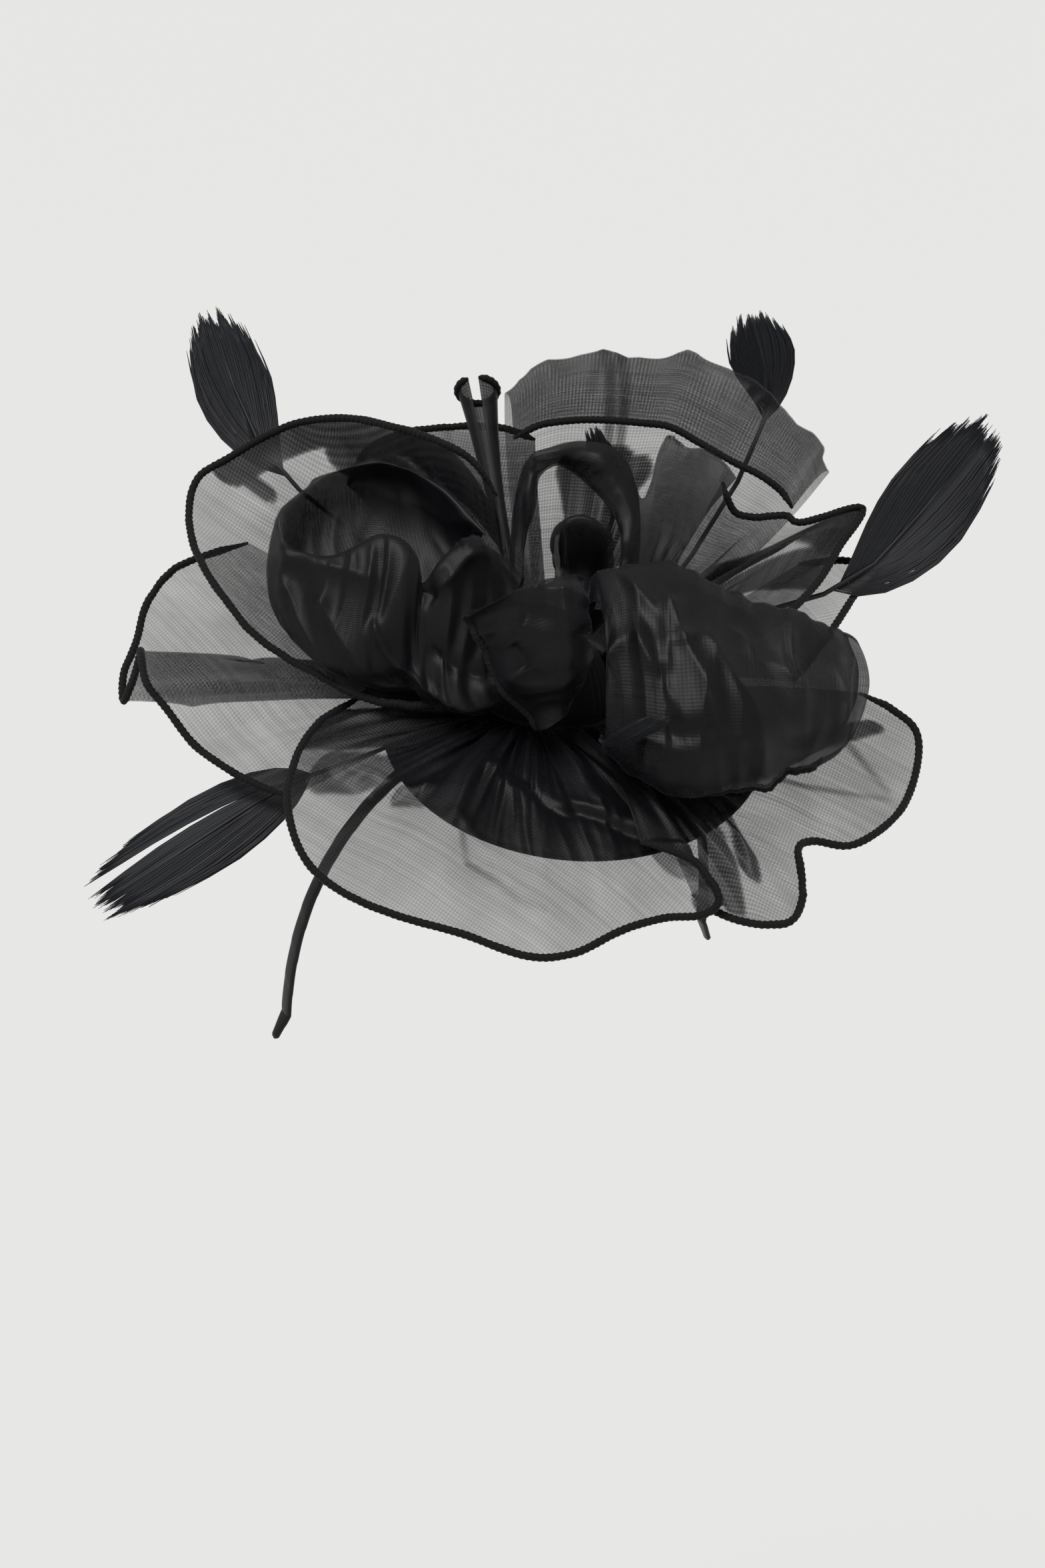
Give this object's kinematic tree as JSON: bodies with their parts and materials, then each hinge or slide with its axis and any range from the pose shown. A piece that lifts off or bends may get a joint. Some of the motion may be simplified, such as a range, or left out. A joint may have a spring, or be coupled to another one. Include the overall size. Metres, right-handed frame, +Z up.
{
  "type": "fascinator",
  "caption": "Black sheer organza flower with rolled hems, swirled folds and trimmed feathers on a domed base, carried by a slim head band.",
  "frame": {"origin": "inner face of the head band at its highest point, where it sits on the head", "axes": "+Z up as worn, the wearer looks to -Y, +X to the wearer's left; the visible band end is at -X"},
  "size_m": [0.2965, 0.2147, 0.1979],
  "materials": {
    "organza": "sheer black organza with a soft sheen, dark where it lies double",
    "band_satin": "black satin ribbon wrapped on a thin band",
    "base_felt": "matt black millinery base and stitched gathers",
    "feather": "black dyed feather with a faint gloss"
  },
  "bodies": {
    "root": {"headband": "band_satin", "base_disc": "base_felt", "gather_core": "base_felt", "petal_front": "organza", "petal_right_front": "organza", "petal_right_back": "organza", "petal_back_left": "organza", "petal_left": "organza", "petal_upper_left": "organza", "petal_right_fan": "organza", "petal_back_hood": "organza", "left_swirl": "organza", "centre_arch": "organza", "centre_swirl": "organza", "centre_sheet": "organza", "front_fold": "organza", "front_swoop": "organza", "back_curl": "organza", "feather_upper_left": "feather", "feather_lower_left": "feather", "feather_upper_right": "feather", "feather_right": "feather", "feather_centre": "feather", "feather_front": "feather"}
  },
  "joints": []
}
